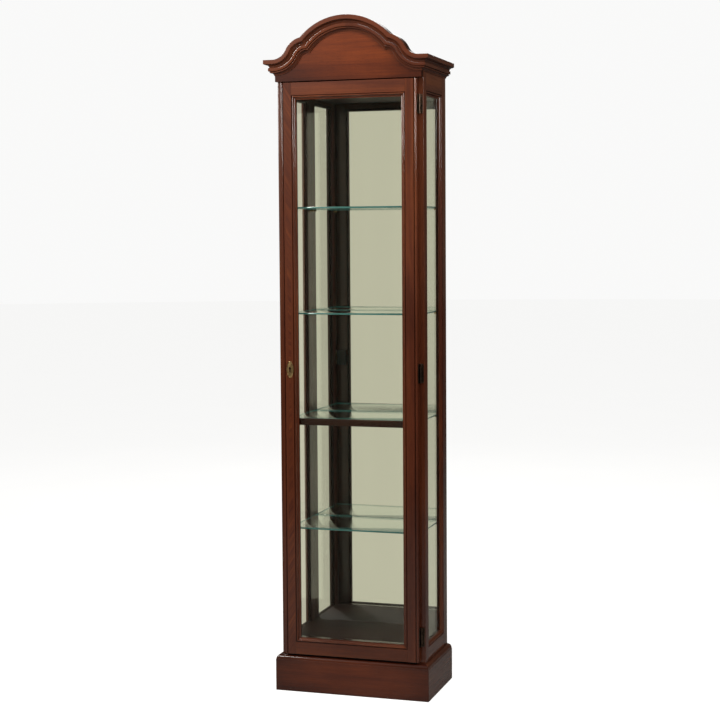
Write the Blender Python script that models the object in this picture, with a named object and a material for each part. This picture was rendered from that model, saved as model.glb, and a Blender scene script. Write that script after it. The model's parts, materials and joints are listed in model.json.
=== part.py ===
"""Curio cabinet: a tall glazed display case with a bonnet top, one hinged glass door, glass shelves,
a mirror back and a moulded plinth.

Metres, +Z up. The front faces -Y. The origin is at the middle of the footprint, on the floor.
Across is X, and the hinged edge of the door is at +X.
"""

import math

import bmesh
import bpy
from mathutils import Vector

# Overall size
HEIGHT = 2.032
WIDTH = 0.508
DEPTH = 0.3045
GAP = 0.0003

# Case: two glazed side frames carry everything else
CASE_HALF = 0.2265
CASE_DEPTH = 0.255
FRAME_THICK = 0.020
CASE_INNER = CASE_HALF - FRAME_THICK
CORNICE_REACH = WIDTH / 2 - CASE_HALF
DOOR_THICK = 0.022
FRONT_Y = -DEPTH / 2 + CORNICE_REACH + DOOR_THICK
BACK_Y = FRONT_Y + CASE_DEPTH
FACE_Y = FRONT_Y - DOOR_THICK
FOOT_LIFT = 0.002
CASE_TOP = 1.890
CORNICE_TOP = 1.909
FRONT_STILE = 0.0325
REAR_STILE = 0.0415
SIDE_SIGHT_LOW = 0.1515
SIDE_SIGHT_HIGH = 1.8105
SIDE_RAIL_LOW = 0.100

# Sticking: the moulded inner edge that every glazed frame has
STICK = 0.0135
STICK_BEAD_AT = 0.0042
STICK_BEAD_R = 0.0021
REBATE = 0.0055
REBATE_DEPTH = 0.0098
PANE = 0.003

# Floor, ceiling and back
FLOOR_TOP = 0.163
BOARD = 0.015
CEILING = 1.816
RAIL_DEPTH = 0.020
MIRROR_Y = FRONT_Y + 0.242
MIRROR_THICK = 0.004
BACK_BOARD_THICK = 0.006
BACK_REBATE = 0.008
BASE_BACK_THICK = 0.018

# Plinth
BASE_SIDE = 0.015
BASE_FRONT = 0.0235
BASE_TOP = 0.111
OVOLO = 0.0125
OVOLO_DROP = 0.001
FILLET = 0.0012

# Bonnet
FRIEZE_LOW = 1.846
ARCH_RADIUS = 0.187
ARCH_HALF = 0.138
SHOULDER_RADIUS = 0.066
SHOULDER_START = math.radians(78)
SHOULDER_END = math.radians(26)
ARC_STEP = math.radians(5)

# Cornice section in (out, down): fascia, cove, second fascia, small cove
CORNICE_SECTION = [
    (GAP, 0.0),
    (CORNICE_REACH, 0.0),
    (CORNICE_REACH, 0.0125),
    (0.0250, 0.0140),
    (0.0235, 0.0175),
    (0.0200, 0.0210),
    (0.0154, 0.0230),
    (0.0154, 0.0330),
    (0.0130, 0.0365),
    (0.0100, 0.0410),
    (0.0055, 0.0435),
    (0.0055, 0.0450),
    (GAP, 0.0450),
]

# Door
DOOR_HALF = 0.211
DOOR_LOW = 0.116
DOOR_HIGH = 1.8425
DOOR_STILE = 0.0345
DOOR_TOP_RAIL = 0.038
DOOR_LOW_RAIL = 0.037
BEAD = 0.0035
QUIRK = 0.0025
QUIRK_SLOPE = 0.0006

# Hinges
HINGE_LEVELS = (0.190, 0.979, 1.7695)
HINGE_TALL = 0.056
KNUCKLES = 5
KNUCKLE_R = 0.0036
PIN_R = 0.0016
BORE_R = 0.0019
LEAF = 0.0015
LEAF_SETBACK = 0.004
LEAF_MARGIN = 0.001
PIN_MARGIN = 0.001
HINGE_X = DOOR_HALF + 0.0048
HINGE_Y = FRONT_Y - 0.0045

# Lock
LOCK_X = -0.187
LOCK_Z = 0.985
PLATE_HALF_WIDE = 0.011
PLATE_HALF_TALL = 0.0245
PLATE_THICK = 0.002
PLATE_RIM = 0.0008
PLATE_SIDES = 28
KEYHOLE_EYE = 0.0036
KEYHOLE_EYE_UP = 0.003
KEYHOLE_HALF_WIDE = 0.0022
KEYHOLE_DROP = 0.009
LOCK_CASE_START = -CASE_INNER + 0.004
LOCK_CASE_END = -0.1745
LOCK_CASE_DEPTH = 0.012
LOCK_CASE_HALF_TALL = 0.024
BOLT_LONG = 0.020
BOLT_TALL = 0.018
BOLT_THICK = 0.005
BOLT_INSET = 0.0005
BOLT_CLEAR = 0.0005
BOLT_DEPTH = 0.0065
MORTISE_DEEP = 0.008
MORTISE_CLEAR = 0.001
STRIKE_THICK = 0.0015
STRIKE_HALF_TALL = 0.022

# Shelves
SHELF_THICK = 0.005
SHELF_HALF = 0.205
SHELF_FRONT = 0.015
SHELF_BACK = 0.239
SHELF_LEVELS = {"lower": 0.4945, "upper": 1.1495, "top": 1.4685}
MIDDLE_TOP = 0.835
MIDDLE_RAIL_TALL = 0.020
MIDDLE_RAIL_DEPTH = 0.022
MIDDLE_RAIL_SEAT = 0.009
PEG_R = 0.0025
PEG_HOLE_R = 0.0028
PEG_IN = 0.009
PEG_OUT = 0.011
PEG_FRONT = 0.022
PEG_REAR = 0.2275
DRILL_PAST = 0.004
ROUND_SIDES = 12


def clear_scene():
    for old in list(bpy.data.objects):
        bpy.data.objects.remove(old, do_unlink=True)


def material(name, colour, roughness, metallic=0.0, alpha=1.0):
    made = bpy.data.materials.new(name)
    made.use_nodes = True
    shader = made.node_tree.nodes["Principled BSDF"]
    shader.inputs["Base Color"].default_value = (*colour, 1.0)
    shader.inputs["Roughness"].default_value = roughness
    shader.inputs["Metallic"].default_value = metallic
    shader.inputs["Alpha"].default_value = alpha
    return made


clear_scene()
CHERRY = material("cherry", (0.17, 0.045, 0.018), 0.28)
CHERRY_DARK = material("cherry_inside", (0.06, 0.022, 0.014), 0.45)
PLYWOOD = material("back_board", (0.20, 0.12, 0.06), 0.75)
GLASS = material("glass", (0.80, 0.90, 0.86), 0.02, alpha=0.35)
SHELF_GLASS = material("shelf_glass", (0.35, 0.62, 0.55), 0.03, alpha=0.45)
MIRROR = material("mirror", (0.86, 0.88, 0.86), 0.02, metallic=1.0)
BRASS = material("antique_brass", (0.45, 0.31, 0.13), 0.32, metallic=1.0)
BRONZE = material("dark_bronze", (0.05, 0.042, 0.036), 0.40, metallic=1.0)
STEEL = material("steel", (0.55, 0.55, 0.54), 0.35, metallic=1.0)


def place(name, mesh_maker, finish, parent=None, origin=(0, 0, 0)):
    """An object from a bmesh in world metres, with its origin set and its faces turned outward."""
    shape = bmesh.new()
    mesh_maker(shape)
    bmesh.ops.recalc_face_normals(shape, faces=shape.faces)
    bmesh.ops.translate(shape, vec=-Vector(origin), verts=shape.verts)
    mesh = bpy.data.meshes.new(name)
    shape.to_mesh(mesh)
    shape.free()
    mesh.materials.append(finish)
    made = bpy.data.objects.new(name, mesh)
    bpy.context.scene.collection.objects.link(made)
    if parent is None:
        made.location = origin
    else:
        made.parent = parent
        made.location = Vector(origin) - parent.location
    return made


def empty(name, location):
    made = bpy.data.objects.new(name, None)
    made.location = location
    bpy.context.scene.collection.objects.link(made)
    return made


def add_block(shape, low, high):
    size = Vector(high) - Vector(low)
    made = bmesh.ops.create_cube(shape, size=1.0)["verts"]
    bmesh.ops.scale(shape, vec=size, verts=made)
    bmesh.ops.translate(shape, vec=Vector(low) + size / 2, verts=made)


def block(name, low, high, finish, parent=None, origin=(0, 0, 0)):
    return place(name, lambda shape: add_block(shape, low, high), finish, parent, origin)


def add_prism(shape, near, far, split=None):
    """Joins two matching closed outlines of world points. split folds each end between two of them."""
    first = [shape.verts.new(point) for point in near]
    last = [shape.verts.new(point) for point in far]
    for ring, end in ((first, first), (last, list(reversed(last)))):
        cap = shape.faces.new(end)
        if split:
            bmesh.utils.face_split(cap, ring[split[0]], ring[split[1]])
    for i in range(len(first)):
        j = (i + 1) % len(first)
        shape.faces.new((first[i], last[i], last[j], first[j]))


def add_rod(shape, radius, start, end, sides=ROUND_SIDES):
    """A solid round bar between two points."""
    run = Vector(end) - Vector(start)
    turn = run.to_track_quat("Z", "Y").to_matrix()
    ring = [
        turn @ Vector((radius * math.cos(a), radius * math.sin(a), 0))
        for a in (2 * math.pi * k / sides for k in range(sides))
    ]
    add_prism(shape, [Vector(start) + p for p in ring], [Vector(end) + p for p in ring])


def boolean(target, cutter, operation):
    cutter.hide_render = True
    cutter.display_type = "WIRE"
    step = target.modifiers.new(operation.lower(), "BOOLEAN")
    step.operation = operation
    step.solver = "EXACT"
    step.object = cutter


def smooth(target, degrees=30):
    target.data.shade_smooth()
    target.data.set_sharp_from_angle(angle=math.radians(degrees))


def arc(centre_u, centre_v, radius, start, end, steps):
    """Points on an arc, angles in degrees, both ends included."""
    angles = [math.radians(start + (end - start) * k / steps) for k in range(steps + 1)]
    return [(centre_u + radius * math.cos(a), centre_v + radius * math.sin(a)) for a in angles]


# Glazed frames
#
# A member's section lies in (u, d): u runs from the member's outer edge towards the glass and d from
# its show face inward. The body ends at the line u = width, where the sticking starts. The sticking is
# mitred at 45 degrees, and a stile's body runs on past the rails.


def sticking(width, thick):
    """Section points of the sticking, from the back of the member round to its show face."""
    bead = arc(width + STICK_BEAD_AT, 0.0026, STICK_BEAD_R, 20, 160, 5)
    return [
        (width, thick),
        (width + REBATE, thick),
        (width + REBATE, REBATE_DEPTH),
        (width + STICK, REBATE_DEPTH),
        (width + STICK, 0.0080),
        (width + 0.0115, 0.0074),
        (width + 0.0090, 0.0058),
        (width + 0.0072, 0.0033),
        *[(u, 0.0052 - d) for u, d in bead],
        (width + 0.0016, 0.0030),
        (width + 0.0004, 0.0024),
        (width, 0.0),
    ]


def add_member(shape, outer, width, thick, length, corners, place_point):
    """A frame member. outer is the body's section from the show face round to the back, corners are
    how far the rails' bodies take up each end, and place_point turns (u, d, along) into the world."""
    stick = sticking(width, thick)
    low, high = corners

    def ends(u):
        past = max(u - width, 0.0)
        return low + past, length - high - past

    def vertex(u, d, along):
        return shape.verts.new(place_point(u, d, along))

    body_low = [vertex(u, d, 0.0) for u, d in outer]
    body_high = [vertex(u, d, length) for u, d in outer]
    stick_low = [vertex(u, d, ends(u)[0]) for u, d in stick[1:-1]]
    stick_high = [vertex(u, d, ends(u)[1]) for u, d in stick[1:-1]]
    front, back = (width, 0.0), (width, thick)
    if low:
        front_low, back_low = vertex(*front, low), vertex(*back, low)
        shape.faces.new((body_low[0], front_low, back_low, body_low[-1]))
    else:
        front_low, back_low = body_low[0], body_low[-1]
    if high:
        front_high, back_high = vertex(*front, length - high), vertex(*back, length - high)
        shape.faces.new((body_high[-1], back_high, front_high, body_high[0]))
    else:
        front_high, back_high = body_high[0], body_high[-1]
    shape.faces.new(body_low)
    shape.faces.new(list(reversed(body_high)))
    for i in range(len(outer) - 1):
        face = [body_low[i], body_high[i], body_high[i + 1], body_low[i + 1]]
        if i == 0:
            if high:
                face.insert(1, front_high)
            if low:
                face.insert(1, front_low)
        if i == len(outer) - 2:
            last = face.index(body_low[i + 1])
            if high:
                face.insert(last, back_high)
                last += 1
            if low:
                face.insert(last, back_low)
        shape.faces.new(face)
    rim_low = [back_low, *stick_low, front_low]
    rim_high = [back_high, *stick_high, front_high]
    shape.faces.new(rim_low)
    shape.faces.new(list(reversed(rim_high)))
    for i in range(len(rim_low) - 1):
        shape.faces.new((rim_low[i], rim_high[i], rim_high[i + 1], rim_low[i + 1]))


def member(name, outer, width, thick, length, corners, place_point, parent=None, origin=(0, 0, 0)):
    made = place(
        name,
        lambda shape: add_member(shape, outer, width, thick, length, corners, place_point),
        CHERRY,
        parent,
        origin,
    )
    smooth(made)
    return made


def plain_edge(width, thick):
    return [(width, 0.0), (0.0, 0.0), (0.0, thick), (width, thick)]


def rebated_edge(width, thick):
    """The rear stile's outer edge, cut back inside for the mirror and the back board."""
    seat = BACK_Y - MIRROR_Y + GAP
    return [
        (width, 0.0),
        (0.0, 0.0),
        (0.0, thick - BACK_REBATE),
        (seat, thick - BACK_REBATE),
        (seat, thick),
        (width, thick),
    ]


def beaded_edge(width, thick):
    """The door stile's outer edge: a bead flush with the face, and the quirk beside it."""
    round_over = [(u, BEAD - d) for u, d in arc(BEAD, 0.0, BEAD, 0, 180, 6)]
    quirk_end = 2 * BEAD + QUIRK
    return [
        (width, 0.0),
        (quirk_end, 0.0),
        (quirk_end - QUIRK_SLOPE, BEAD),
        *round_over,
        (0.0, thick),
        (width, thick),
    ]


def side_frame(side, name):
    """side is -1 for the left frame and +1 for the right one."""

    def across(d):
        return side * (CASE_HALF - d)

    tall = CASE_TOP - FOOT_LIFT
    corners = (SIDE_SIGHT_LOW - FOOT_LIFT, CASE_TOP - SIDE_SIGHT_HIGH)
    front = member(
        f"{name}_front_stile",
        plain_edge(FRONT_STILE, FRAME_THICK),
        FRONT_STILE,
        FRAME_THICK,
        tall,
        corners,
        lambda u, d, s: (across(d), FRONT_Y + u, FOOT_LIFT + s),
    )
    rear = member(
        f"{name}_rear_stile",
        rebated_edge(REAR_STILE, FRAME_THICK),
        REAR_STILE,
        FRAME_THICK,
        tall,
        corners,
        lambda u, d, s: (across(d), BACK_Y - u, FOOT_LIFT + s),
    )
    start = FRONT_Y + FRONT_STILE + GAP
    length = CASE_DEPTH - FRONT_STILE - REAR_STILE - 2 * GAP
    top_rail = CASE_TOP - SIDE_SIGHT_HIGH - GAP
    low_rail = SIDE_SIGHT_LOW - SIDE_RAIL_LOW - GAP
    member(
        f"{name}_top_rail",
        plain_edge(top_rail, FRAME_THICK),
        top_rail,
        FRAME_THICK,
        length,
        (0.0, 0.0),
        lambda u, d, s: (across(d), start + s, CASE_TOP - u),
    )
    member(
        f"{name}_bottom_rail",
        plain_edge(low_rail, FRAME_THICK),
        low_rail,
        FRAME_THICK,
        length,
        (0.0, 0.0),
        lambda u, d, s: (across(d), start + s, SIDE_RAIL_LOW + u),
    )
    edge = REBATE + GAP
    near = CASE_HALF - REBATE_DEPTH - GAP
    low = (near - PANE, FRONT_Y + FRONT_STILE + edge, SIDE_SIGHT_LOW + edge)
    high = (near, BACK_Y - REAR_STILE - edge, SIDE_SIGHT_HIGH - edge)
    if side < 0:
        low, high = (-high[0], *low[1:]), (-low[0], *high[1:])
    block(f"{name}_side_glass", low, high, GLASS)
    return front, rear


# Mouldings that turn a corner: plinth and cornice
#
# Their section lies in (out, z) or (out, down), with out measured from the case.


def base_section(inner, reach):
    """Section of a plinth board in (out, z), from its inner face round its ovolo to its outer face."""
    ovolo_out = reach - FILLET - OVOLO
    ovolo_z = BASE_TOP - OVOLO_DROP - OVOLO
    ovolo = arc(ovolo_out, ovolo_z, OVOLO, 90, 0, 6)
    return [
        (inner, 0.0),
        (inner, BASE_TOP),
        (ovolo_out - OVOLO_DROP / 5, BASE_TOP),
        *ovolo,
        (reach, ovolo_z - OVOLO_DROP),
        (reach, 0.0),
    ]


def plinth():
    """Front and side boards mitred round the posts. The front board also fills the door's depth."""
    notch = BASE_FRONT - BASE_SIDE
    fronts = base_section(GAP, BASE_FRONT)
    fronts.insert(2, (notch, BASE_TOP))
    fronts.append((notch, 0.0))

    def front_board(shape):
        ends = [
            [
                (side * (CASE_HALF + max(out - notch, 0.0) - GAP / 2), FRONT_Y - out, z)
                for out, z in fronts
            ]
            for side in (-1, 1)
        ]
        add_prism(shape, *ends, split=(2, len(fronts) - 1))

    smooth(place("base_front", front_board, CHERRY))
    section = base_section(GAP, BASE_SIDE)
    for side, name in ((-1, "base_left"), (1, "base_right")):
        near = [
            (side * (CASE_HALF + out + GAP / 2), FRONT_Y - notch - out + GAP, z) for out, z in section
        ]
        far = [(side * (CASE_HALF + out + GAP / 2), BACK_Y, z) for out, z in section]
        smooth(place(name, lambda shape, a=near, b=far: add_prism(shape, a, b), CHERRY))
    block(
        "base_back",
        (-CASE_INNER + GAP, BACK_Y - BASE_BACK_THICK, 0.0),
        (CASE_INNER - GAP, BACK_Y, BASE_TOP),
        CHERRY_DARK,
    )


def arc_points(centre, radius, start, end, steps):
    """Points on an arc, without the first one."""
    angles = [start + (end - start) * k / steps for k in range(1, steps + 1)]
    return [(centre[0] + radius * math.cos(a), centre[1] + radius * math.sin(a)) for a in angles]


def bonnet_outline(down=0.0):
    """The bonnet's top edge moved down into the board, from left to right, (x, z): flat, hollow, shoulder,
    main arch and back down. Every depth has the same number of points."""
    crown = HEIGHT - ARCH_RADIUS
    half_angle = math.asin(ARCH_HALF / ARCH_RADIUS)
    shoulder = (
        ARCH_HALF - SHOULDER_RADIUS * math.cos(SHOULDER_START),
        crown + ARCH_RADIUS * math.cos(half_angle) - SHOULDER_RADIUS * math.sin(SHOULDER_START),
    )
    slope = math.sin(SHOULDER_END)
    hollow_radius = (shoulder[1] + SHOULDER_RADIUS * slope - CORNICE_TOP) / (1 - slope)
    reach = SHOULDER_RADIUS + hollow_radius
    hollow = (shoulder[0] + reach * math.cos(SHOULDER_END), shoulder[1] + reach * slope)
    arch_radius, shoulder_radius = ARCH_RADIUS - down, SHOULDER_RADIUS - down
    apart = math.hypot(shoulder[0], shoulder[1] - crown)
    turn = math.acos((arch_radius**2 + apart**2 - shoulder_radius**2) / (2 * arch_radius * apart))
    cusp = math.atan2(shoulder[1] - crown, shoulder[0]) + turn
    start = math.atan2(
        crown + arch_radius * math.sin(cusp) - shoulder[1], arch_radius * math.cos(cusp) - shoulder[0])
    arcs = (
        ((0.0, crown), arch_radius, math.pi / 2, cusp, half_angle),
        (shoulder, shoulder_radius, start, SHOULDER_END, SHOULDER_START - SHOULDER_END),
        (hollow, hollow_radius + down, math.pi + SHOULDER_END, 1.5 * math.pi, math.pi / 2 - SHOULDER_END),
    )
    half = [(0.0, HEIGHT - down)]
    for centre, radius, first, last, angle in arcs:
        half += arc_points(centre, radius, first, last, round(angle / ARC_STEP))
    half.append((CASE_HALF, CORNICE_TOP - down))
    return [(-x, z) for x, z in reversed(half)] + half[1:]


def bonnet():
    path = bonnet_outline()
    outline = [(CASE_HALF, FRIEZE_LOW), (-CASE_HALF, FRIEZE_LOW), *path]
    place(
        "frieze_board",
        lambda shape: add_prism(
            shape,
            [(x, FACE_Y, z) for x, z in outline],
            [(x, FRONT_Y - GAP, z) for x, z in outline],
        ),
        CHERRY,
    )

    def arch(shape):
        paths = [bonnet_outline(down) for out, down in CORNICE_SECTION]
        rings = []
        for index in range(len(path)):
            ring = []
            for (out, down), lowered in zip(CORNICE_SECTION, paths):
                x, z = lowered[index]
                if index == 0:
                    x -= out - GAP / 2
                if index == len(path) - 1:
                    x += out - GAP / 2
                ring.append(shape.verts.new((x, FACE_Y - out, z)))
            rings.append(ring)
        count = len(CORNICE_SECTION)
        for a, b in zip(rings, rings[1:]):
            for i in range(count):
                j = (i + 1) % count
                shape.faces.new((a[i], b[i], b[j], a[j]))
        shape.faces.new(rings[0])
        shape.faces.new(list(reversed(rings[-1])))

    smooth(place("arch_moulding", arch, CHERRY), 25)
    for side, name in ((-1, "cornice_left"), (1, "cornice_right")):
        near = [
            (side * (CASE_HALF + out + GAP / 2), FACE_Y - out + GAP, CORNICE_TOP - down)
            for out, down in CORNICE_SECTION
        ]
        far = [
            (side * (CASE_HALF + out + GAP / 2), BACK_Y, CORNICE_TOP - down)
            for out, down in CORNICE_SECTION
        ]
        smooth(place(name, lambda shape, a=near, b=far: add_prism(shape, a, b), CHERRY))
    block(
        "roof_panel",
        (-CASE_HALF, FRONT_Y + GAP, CASE_TOP + GAP),
        (CASE_HALF, BACK_Y, CORNICE_TOP),
        CHERRY_DARK,
    )


def inside():
    """Front rails, floor, ceiling, mirror and back board."""
    wide = CASE_INNER - GAP
    rail_back = FRONT_Y + RAIL_DEPTH
    block("front_top_rail", (-wide, FRONT_Y, CEILING), (wide, rail_back, CASE_TOP), CHERRY)
    block("front_bottom_rail", (-wide, FRONT_Y, SIDE_RAIL_LOW), (wide, rail_back, FLOOR_TOP), CHERRY)
    floor_front = rail_back + GAP
    floor_back = MIRROR_Y + MIRROR_THICK
    block(
        "floor_panel",
        (-wide, floor_front, FLOOR_TOP - BOARD),
        (wide, floor_back, FLOOR_TOP),
        CHERRY_DARK,
    )
    block(
        "ceiling_panel",
        (-wide, floor_front, CEILING),
        (wide, floor_back, CEILING + BOARD),
        CHERRY_DARK,
    )
    in_rebate = CASE_INNER + BACK_REBATE - 2 * GAP
    block(
        "back_mirror",
        (-in_rebate, MIRROR_Y, FLOOR_TOP + GAP),
        (in_rebate, MIRROR_Y + MIRROR_THICK, CEILING - GAP),
        MIRROR,
    )
    board_y = MIRROR_Y + MIRROR_THICK + GAP
    block(
        "back_board",
        (-in_rebate, board_y, BASE_TOP + GAP),
        (in_rebate, board_y + BACK_BOARD_THICK, CASE_TOP),
        PLYWOOD,
    )


def pegs(stiles):
    """Shelf pegs, each in its own bore in a stile."""
    levels = {**SHELF_LEVELS, "middle": MIDDLE_TOP - SHELF_THICK}
    for (side_name, side), (front, rear) in stiles.items():
        for place_name, along, stile in (("front", PEG_FRONT, front), ("rear", PEG_REAR, rear)):
            used = [name for name in levels if not (name == "middle" and place_name == "front")]
            y = FRONT_Y + along
            holes = []
            for name in used:
                z = levels[name] - PEG_R - GAP
                start = (side * (CASE_INNER + PEG_IN), y, z)
                end = (side * (CASE_INNER - PEG_OUT), y, z)
                peg = place(
                    f"{name}_shelf_peg_{side_name}_{place_name}",
                    lambda shape, a=start, b=end: add_rod(shape, PEG_R, a, b),
                    BRASS,
                )
                smooth(peg)
                hole_start = (side * (CASE_INNER + PEG_IN + GAP), y, z)
                hole_end = (side * (CASE_INNER - DRILL_PAST), y, z)
                holes.append((hole_start, hole_end))

            def drill(shape, ends=holes):
                for a, b in ends:
                    add_rod(shape, PEG_HOLE_R, a, b)

            cutter = place(f"cutter_{side_name}_{place_name}_pegs", drill, STEEL)
            boolean(stile, cutter, "DIFFERENCE")


def shelves():
    """Three glass shelves on pegs, and the fixed middle shelf with its wooden front rail."""
    front, back = FRONT_Y + SHELF_FRONT, FRONT_Y + SHELF_BACK
    for name, low in SHELF_LEVELS.items():
        block(
            f"{name}_glass_shelf",
            (-SHELF_HALF, front, low),
            (SHELF_HALF, back, low + SHELF_THICK),
            SHELF_GLASS,
            origin=(0, (front + back) / 2, low),
        )
    wide = CASE_INNER - GAP
    low, high = MIDDLE_TOP - MIDDLE_RAIL_TALL, MIDDLE_TOP
    rail_front, rail_back = FRONT_Y + GAP, FRONT_Y + MIDDLE_RAIL_DEPTH
    seat_y, seat_z = rail_back - MIDDLE_RAIL_SEAT, MIDDLE_TOP - SHELF_THICK - GAP
    outline = [
        (rail_front, low),
        (rail_back, low),
        (rail_back, seat_z),
        (seat_y, seat_z),
        (seat_y, high),
        (rail_front, high),
    ]
    place(
        "middle_shelf_rail",
        lambda shape: add_prism(
            shape,
            [(-wide, y, z) for y, z in outline],
            [(wide, y, z) for y, z in outline],
        ),
        CHERRY,
    )
    block(
        "middle_glass_shelf",
        (-SHELF_HALF, seat_y + GAP, MIDDLE_TOP - SHELF_THICK),
        (SHELF_HALF, back, MIDDLE_TOP),
        SHELF_GLASS,
        origin=(0, (front + back) / 2, MIDDLE_TOP),
    )


def hinge(name, level, door):
    """A butt hinge: the case leaf has the end and middle knuckles and the pin, the door leaf the others."""
    low, step = level - HINGE_TALL / 2, HINGE_TALL / KNUCKLES
    case_back = FRONT_Y - GAP
    case_leaf = block(
        f"{name}_hinge_case_leaf",
        (HINGE_X, case_back - LEAF, low),
        (CASE_HALF - LEAF_MARGIN, case_back, low + HINGE_TALL),
        BRONZE,
    )
    door_leaf = block(
        f"{name}_hinge_door_leaf",
        (DOOR_HALF + GAP, FACE_Y + LEAF_SETBACK, low),
        (DOOR_HALF + GAP + LEAF, HINGE_Y, low + HINGE_TALL),
        BRONZE,
        door,
        (HINGE_X, HINGE_Y, level),
    )

    def knuckle(shape, index, radius, trim):
        base = low + index * step
        add_rod(
            shape,
            radius,
            (HINGE_X, HINGE_Y, base + trim),
            (HINGE_X, HINGE_Y, base + step - trim),
        )

    for index in range(KNUCKLES):
        on_case = index % 2 == 0
        barrel = place(
            f"cutter_{name}_knuckle_{index}",
            lambda shape, k=index: knuckle(shape, k, KNUCKLE_R, 0.0),
            BRONZE,
        )
        room = place(
            f"cutter_{name}_room_{index}",
            lambda shape, k=index: knuckle(shape, k, KNUCKLE_R + GAP, -GAP),
            BRONZE,
        )
        owner, other = (case_leaf, door_leaf) if on_case else (door_leaf, case_leaf)
        boolean(other, room, "DIFFERENCE")
        boolean(owner, barrel, "UNION")

    def rod_along_axis(rod_name, radius, margin):
        start = (HINGE_X, HINGE_Y, low + margin)
        end = (HINGE_X, HINGE_Y, low + HINGE_TALL - margin)
        return place(rod_name, lambda shape: add_rod(shape, radius, start, end), BRONZE)

    bore = rod_along_axis(f"cutter_{name}_bore", BORE_R, -PIN_MARGIN)
    pin = rod_along_axis(f"cutter_{name}_pin", PIN_R, PIN_MARGIN)
    boolean(door_leaf, bore, "DIFFERENCE")
    boolean(case_leaf, pin, "UNION")


def door_frame(door, pivot):
    """Stiles with a bead, rails between them, and the pane in its rebate."""
    tall = DOOR_HIGH - DOOR_LOW
    thick = DOOR_THICK - GAP
    corners = (DOOR_LOW_RAIL, DOOR_TOP_RAIL)
    stiles = {}
    for side, name in ((-1, "door_left_stile"), (1, "door_right_stile")):
        stiles[side] = member(
            name,
            beaded_edge(DOOR_STILE, thick),
            DOOR_STILE,
            thick,
            tall,
            corners,
            lambda u, d, s, side=side: (side * (DOOR_HALF - u), FACE_Y + d, DOOR_LOW + s),
            door,
            pivot,
        )
    half = DOOR_HALF - DOOR_STILE - GAP
    member(
        "door_top_rail",
        plain_edge(DOOR_TOP_RAIL - GAP, thick),
        DOOR_TOP_RAIL - GAP,
        thick,
        2 * half,
        (0.0, 0.0),
        lambda u, d, s: (s - half, FACE_Y + d, DOOR_HIGH - u),
        door,
        pivot,
    )
    member(
        "door_bottom_rail",
        plain_edge(DOOR_LOW_RAIL - GAP, thick),
        DOOR_LOW_RAIL - GAP,
        thick,
        2 * half,
        (0.0, 0.0),
        lambda u, d, s: (s - half, FACE_Y + d, DOOR_LOW + u),
        door,
        pivot,
    )
    edge = REBATE + GAP
    pane_half = DOOR_HALF - DOOR_STILE - edge
    pane_front = FACE_Y + REBATE_DEPTH + GAP
    block(
        "door_glass",
        (-pane_half, pane_front, DOOR_LOW + DOOR_LOW_RAIL + edge),
        (pane_half, pane_front + PANE, DOOR_HIGH - DOOR_TOP_RAIL - edge),
        GLASS,
        door,
        pivot,
    )
    return stiles[-1]


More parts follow.
